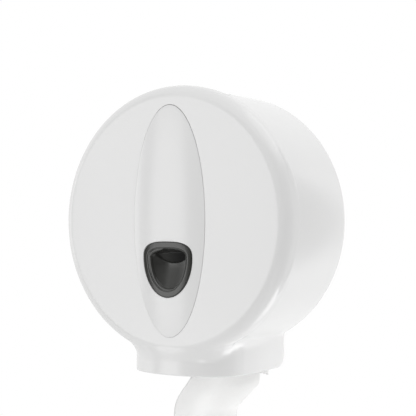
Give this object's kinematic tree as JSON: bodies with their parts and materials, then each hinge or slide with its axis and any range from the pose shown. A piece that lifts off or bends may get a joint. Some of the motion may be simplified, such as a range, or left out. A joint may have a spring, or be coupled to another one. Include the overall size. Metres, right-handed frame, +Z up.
{
  "type": "jumbo toilet roll dispenser",
  "caption": "Round wall dispenser for a jumbo toilet roll, with a hinged white cover, an oval front insert, a smoked window and a paper chute below.",
  "frame": {"origin": "on the wall, on the drum's axis, at the middle of the back plate's rear face", "axes": "+Y into the wall, the front faces -Y, +Z up, +X to the right as seen from the front"},
  "size_m": [0.256, 0.1196, 0.336],
  "materials": {
    "white_plastic": "gloss",
    "inner_plastic": "satin",
    "smoked_plastic": "gloss",
    "steel": "zinc plated",
    "lock_metal": "plated",
    "felt": "felt",
    "paper": "soft tissue",
    "cardboard": "plain"
  },
  "bodies": {
    "base": {"back_plate": "inner_plastic", "spindle_post": "inner_plastic", "post_screws": "steel", "brake_washer": "felt", "hub_cap": "inner_plastic", "cap_screw": "steel", "catch_plate": "steel", "catch_screws": "steel", "hinge_pin_left": "steel", "hinge_pin_right": "steel", "tear_blade_left": "white_plastic", "tear_blade_right": "white_plastic", "blade_rivets": "steel", "paper_tail": "paper"},
    "roll": {"roll_hub": "inner_plastic", "core_tube": "cardboard", "paper_roll": "paper"},
    "cover": {"cover_shell": "white_plastic", "front_insert": "white_plastic", "level_window": "smoked_plastic", "window_clip": "inner_plastic", "lock_housing": "lock_metal", "lock_nut": "steel"},
    "lock": {"lock_plug": "lock_metal", "lock_cam": "steel", "cam_screw": "steel"}
  },
  "joints": [
    {"name": "cover_hinge", "type": "hinge", "parent": "base", "child": "cover", "pos_m": [0, -0.014, -0.13], "axis": [1, 0, 0], "range_deg": [0, 85], "deforming": ["paper_tail"]},
    {"name": "roll_spin", "type": "hinge", "parent": "base", "child": "roll", "pos_m": [0, 0, 0], "axis": [0, -1, 0], "continuous": true},
    {"name": "lock_turn", "type": "hinge", "parent": "cover", "child": "lock", "pos_m": [0, -0.02, 0.11], "axis": [0, 0, 1], "range_deg": [0, 90]}
  ]
}
